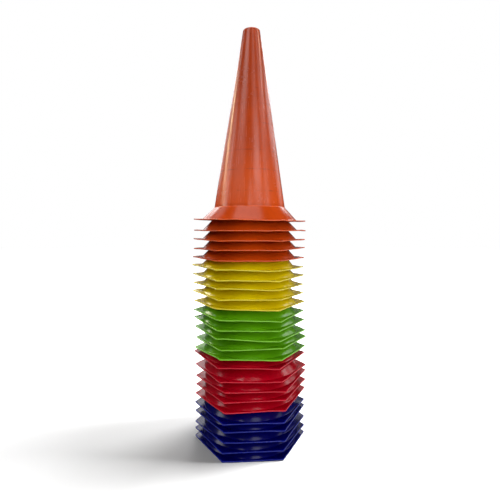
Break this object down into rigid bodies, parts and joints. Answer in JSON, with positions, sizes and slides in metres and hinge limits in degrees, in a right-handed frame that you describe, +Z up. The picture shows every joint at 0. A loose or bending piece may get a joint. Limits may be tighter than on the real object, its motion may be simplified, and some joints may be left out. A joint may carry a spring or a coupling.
{
  "type": "sports marker cone stack",
  "caption": "Free-standing stack of nested sports marker cones in blue, red, green, yellow and orange, each with a slim body, a flared skirt, a hexagonal flange and a pole hole in its tip.",
  "frame": {"origin": "on the ground, at the middle of the lowest cone's foot, on the axis that all the cones share", "axes": "+Z up along the cones' shared axis; +X to the viewer's right, towards a corner of the flanges; -Y towards the viewer"},
  "size_m": [0.3012, 0.2726, 1.09],
  "materials": {
    "blue_plastic": "gloss",
    "red_plastic": "gloss",
    "green_plastic": "gloss",
    "yellow_plastic": "gloss",
    "orange_plastic": "gloss"
  },
  "bodies": {
    "cone_blue_1": {"cone_blue_1": "blue_plastic"},
    "cone_blue_2": {"cone_blue_2": "blue_plastic"},
    "cone_blue_3": {"cone_blue_3": "blue_plastic"},
    "cone_blue_4": {"cone_blue_4": "blue_plastic"},
    "cone_blue_5": {"cone_blue_5": "blue_plastic"},
    "cone_red_1": {"cone_red_1": "red_plastic"},
    "cone_red_2": {"cone_red_2": "red_plastic"},
    "cone_red_3": {"cone_red_3": "red_plastic"},
    "cone_red_4": {"cone_red_4": "red_plastic"},
    "cone_red_5": {"cone_red_5": "red_plastic"},
    "cone_green_1": {"cone_green_1": "green_plastic"},
    "cone_green_2": {"cone_green_2": "green_plastic"},
    "cone_green_3": {"cone_green_3": "green_plastic"},
    "cone_green_4": {"cone_green_4": "green_plastic"},
    "cone_green_5": {"cone_green_5": "green_plastic"},
    "cone_yellow_1": {"cone_yellow_1": "yellow_plastic"},
    "cone_yellow_2": {"cone_yellow_2": "yellow_plastic"},
    "cone_yellow_3": {"cone_yellow_3": "yellow_plastic"},
    "cone_yellow_4": {"cone_yellow_4": "yellow_plastic"},
    "cone_yellow_5": {"cone_yellow_5": "yellow_plastic"},
    "cone_orange_1": {"cone_orange_1": "orange_plastic"},
    "cone_orange_2": {"cone_orange_2": "orange_plastic"},
    "cone_orange_3": {"cone_orange_3": "orange_plastic"},
    "cone_orange_4": {"cone_orange_4": "orange_plastic"},
    "cone_orange_5": {"cone_orange_5": "orange_plastic"}
  },
  "joints": [
    {"name": "lift_blue_2", "type": "slide", "parent": "cone_blue_1", "child": "cone_blue_2", "axis": [0, 0, 1], "range_m": [0, 0.5]},
    {"name": "lift_blue_3", "type": "slide", "parent": "cone_blue_2", "child": "cone_blue_3", "axis": [0, 0, 1], "range_m": [0, 0.5]},
    {"name": "lift_blue_4", "type": "slide", "parent": "cone_blue_3", "child": "cone_blue_4", "axis": [0, 0, 1], "range_m": [0, 0.5]},
    {"name": "lift_blue_5", "type": "slide", "parent": "cone_blue_4", "child": "cone_blue_5", "axis": [0, 0, 1], "range_m": [0, 0.5]},
    {"name": "lift_red_1", "type": "slide", "parent": "cone_blue_5", "child": "cone_red_1", "axis": [0, 0, 1], "range_m": [0, 0.5]},
    {"name": "lift_red_2", "type": "slide", "parent": "cone_red_1", "child": "cone_red_2", "axis": [0, 0, 1], "range_m": [0, 0.5]},
    {"name": "lift_red_3", "type": "slide", "parent": "cone_red_2", "child": "cone_red_3", "axis": [0, 0, 1], "range_m": [0, 0.5]},
    {"name": "lift_red_4", "type": "slide", "parent": "cone_red_3", "child": "cone_red_4", "axis": [0, 0, 1], "range_m": [0, 0.5]},
    {"name": "lift_red_5", "type": "slide", "parent": "cone_red_4", "child": "cone_red_5", "axis": [0, 0, 1], "range_m": [0, 0.5]},
    {"name": "lift_green_1", "type": "slide", "parent": "cone_red_5", "child": "cone_green_1", "axis": [0, 0, 1], "range_m": [0, 0.5]},
    {"name": "lift_green_2", "type": "slide", "parent": "cone_green_1", "child": "cone_green_2", "axis": [0, 0, 1], "range_m": [0, 0.5]},
    {"name": "lift_green_3", "type": "slide", "parent": "cone_green_2", "child": "cone_green_3", "axis": [0, 0, 1], "range_m": [0, 0.5]},
    {"name": "lift_green_4", "type": "slide", "parent": "cone_green_3", "child": "cone_green_4", "axis": [0, 0, 1], "range_m": [0, 0.5]},
    {"name": "lift_green_5", "type": "slide", "parent": "cone_green_4", "child": "cone_green_5", "axis": [0, 0, 1], "range_m": [0, 0.5]},
    {"name": "lift_yellow_1", "type": "slide", "parent": "cone_green_5", "child": "cone_yellow_1", "axis": [0, 0, 1], "range_m": [0, 0.5]},
    {"name": "lift_yellow_2", "type": "slide", "parent": "cone_yellow_1", "child": "cone_yellow_2", "axis": [0, 0, 1], "range_m": [0, 0.5]},
    {"name": "lift_yellow_3", "type": "slide", "parent": "cone_yellow_2", "child": "cone_yellow_3", "axis": [0, 0, 1], "range_m": [0, 0.5]},
    {"name": "lift_yellow_4", "type": "slide", "parent": "cone_yellow_3", "child": "cone_yellow_4", "axis": [0, 0, 1], "range_m": [0, 0.5]},
    {"name": "lift_yellow_5", "type": "slide", "parent": "cone_yellow_4", "child": "cone_yellow_5", "axis": [0, 0, 1], "range_m": [0, 0.5]},
    {"name": "lift_orange_1", "type": "slide", "parent": "cone_yellow_5", "child": "cone_orange_1", "axis": [0, 0, 1], "range_m": [0, 0.5]},
    {"name": "lift_orange_2", "type": "slide", "parent": "cone_orange_1", "child": "cone_orange_2", "axis": [0, 0, 1], "range_m": [0, 0.5]},
    {"name": "lift_orange_3", "type": "slide", "parent": "cone_orange_2", "child": "cone_orange_3", "axis": [0, 0, 1], "range_m": [0, 0.5]},
    {"name": "lift_orange_4", "type": "slide", "parent": "cone_orange_3", "child": "cone_orange_4", "axis": [0, 0, 1], "range_m": [0, 0.5]},
    {"name": "lift_orange_5", "type": "slide", "parent": "cone_orange_4", "child": "cone_orange_5", "axis": [0, 0, 1], "range_m": [0, 0.5]}
  ]
}
